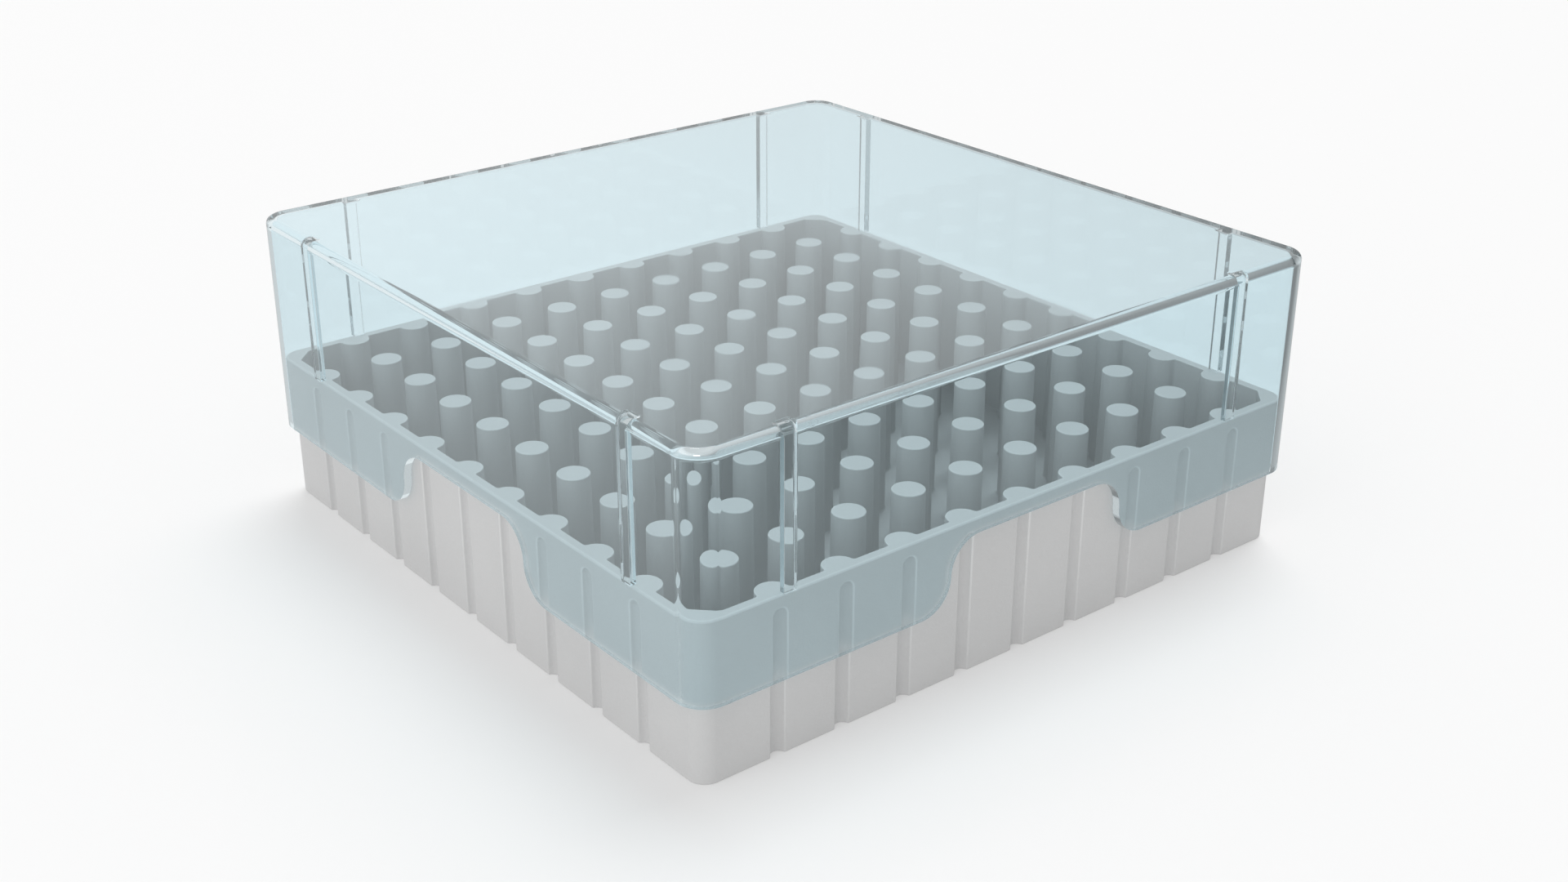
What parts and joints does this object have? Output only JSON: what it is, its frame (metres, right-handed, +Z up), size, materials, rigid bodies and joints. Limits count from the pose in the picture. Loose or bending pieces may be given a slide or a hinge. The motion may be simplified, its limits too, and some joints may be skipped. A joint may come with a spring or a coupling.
{
  "type": "cryogenic storage box",
  "caption": "Square freezer box for a grid of vials, with round posts standing between the vials and a clear lid with grip cut-outs that lifts off.",
  "frame": {"origin": "centre of the base's underside, on the surface the box stands on", "axes": "+Z up, the way the lid lifts; X and Y along the sides; front is -Y and left is -X"},
  "size_m": [0.133, 0.133, 0.0549],
  "materials": {
    "base_plastic": "satin moulded plastic with a fine spark-eroded grain",
    "lid_clear": "clear, faintly blue, polished polycarbonate"
  },
  "bodies": {
    "base": {"base_floor": "base_plastic", "base_wall_front": "base_plastic", "base_wall_right": "base_plastic", "base_wall_back": "base_plastic", "base_wall_left": "base_plastic", "base_corner_front_right": "base_plastic", "base_corner_back_right": "base_plastic", "base_corner_back_left": "base_plastic", "base_corner_front_left": "base_plastic", "half_posts_front": "base_plastic", "half_posts_right": "base_plastic", "half_posts_back": "base_plastic", "half_posts_left": "base_plastic", "post_row_1": "base_plastic", "post_row_2": "base_plastic", "post_row_3": "base_plastic", "post_row_4": "base_plastic", "post_row_5": "base_plastic", "post_row_6": "base_plastic", "post_row_7": "base_plastic", "post_row_8": "base_plastic", "post_row_9": "base_plastic"},
    "lid": {"lid_top": "lid_clear", "lid_wall_front": "lid_clear", "lid_wall_right": "lid_clear", "lid_wall_back": "lid_clear", "lid_wall_left": "lid_clear", "lid_corner_front_right": "lid_clear", "lid_corner_back_right": "lid_clear", "lid_corner_back_left": "lid_clear", "lid_corner_front_left": "lid_clear", "lid_stop_ribs": "lid_clear"}
  },
  "joints": [
    {"name": "lid_lift", "type": "slide", "parent": "base", "child": "lid", "axis": [0, 0, 1], "range_m": [0, 0.06]}
  ]
}
